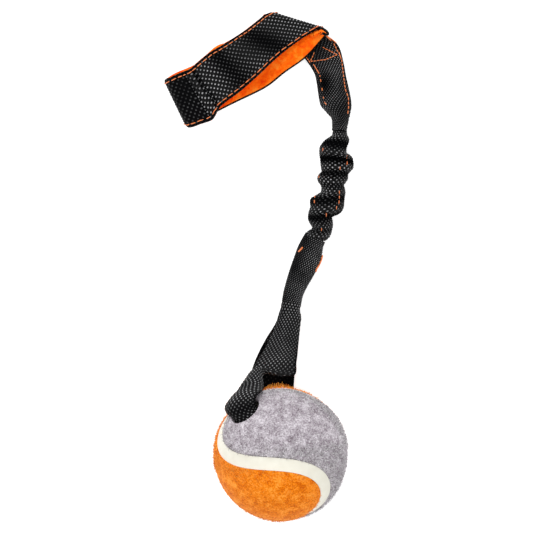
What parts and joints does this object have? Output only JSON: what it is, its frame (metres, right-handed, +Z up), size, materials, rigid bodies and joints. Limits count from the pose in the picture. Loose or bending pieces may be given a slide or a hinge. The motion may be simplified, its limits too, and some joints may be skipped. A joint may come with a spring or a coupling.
{
  "type": "dog tug toy",
  "caption": "Bungee tug toy for a dog: a fleece-lined webbing hand loop, a ruched elastic sleeve and a two-colour felted ball threaded on a strap loop.",
  "frame": {"origin": "centre of the bounding box, on the table under the toy", "axes": "+Z up from the table, +Y from the ball towards the hand loop, along the toy's length, +X across it"},
  "size_m": [0.0921, 0.2473, 0.0672],
  "materials": {
    "black_webbing": "coarse woven polypropylene webbing, matt",
    "orange_fleece": "brushed orange fleece",
    "orange_thread": "twisted polyester thread",
    "elastic": "covered elastic cord",
    "ball_rubber": "moulded rubber, matt",
    "orange_felt": "needled felt",
    "grey_felt": "needled felt",
    "seam_rubber": "pale vulcanised seam"
  },
  "bodies": {
    "head": {"head_front_webbing": "black_webbing", "head_back_webbing": "black_webbing", "head_thread_left": "orange_thread", "head_thread_right": "orange_thread", "box_stitch_thread": "orange_thread", "fold_inner_webbing": "black_webbing", "fold_outer_webbing": "black_webbing", "ruched_sleeve": "black_webbing", "elastic_core": "elastic"},
    "hand_loop": {"handle_webbing": "black_webbing", "handle_lining": "orange_fleece", "handle_thread_upper": "orange_thread", "handle_thread_lower": "orange_thread"},
    "sleeve_foot": {"foot_front_webbing": "black_webbing", "foot_back_webbing": "black_webbing", "foot_tack_thread": "orange_thread", "neck_front_webbing": "black_webbing", "neck_back_webbing": "black_webbing"},
    "strap_loop": {"ball_loop_webbing": "black_webbing"},
    "ball": {"ball_core": "ball_rubber", "ball_felt_orange": "orange_felt", "ball_felt_grey": "grey_felt", "ball_seam": "seam_rubber"}
  },
  "joints": [
    {"name": "handle_fold", "type": "hinge", "parent": "head", "child": "hand_loop", "pos_m": [0.0189, 0.11572, 0.0039], "axis": [-0.9619, 0.2735, 0], "range_deg": [0, 150], "deforming": ["fold_inner_webbing", "fold_outer_webbing"]},
    {"name": "bungee_stretch", "type": "slide", "parent": "head", "child": "sleeve_foot", "axis": [-0.2155, -0.9765, 0], "range_m": [0, 0.06], "stiffness_N_per_m": 150, "deforming": ["ruched_sleeve", "elastic_core"]},
    {"name": "ball_loop_bend", "type": "hinge", "parent": "sleeve_foot", "child": "strap_loop", "pos_m": [0.02011, -0.00465, 0.0062], "axis": [-0.9264, 0.3766, 0], "range_deg": [-40, 70], "deforming": ["neck_front_webbing", "neck_back_webbing"]},
    {"name": "ball_spin", "type": "hinge", "parent": "strap_loop", "child": "ball", "pos_m": [0.01067, -0.09103, 0.0348], "axis": [-0.5539, 0.6789, 0.4819], "continuous": true}
  ]
}
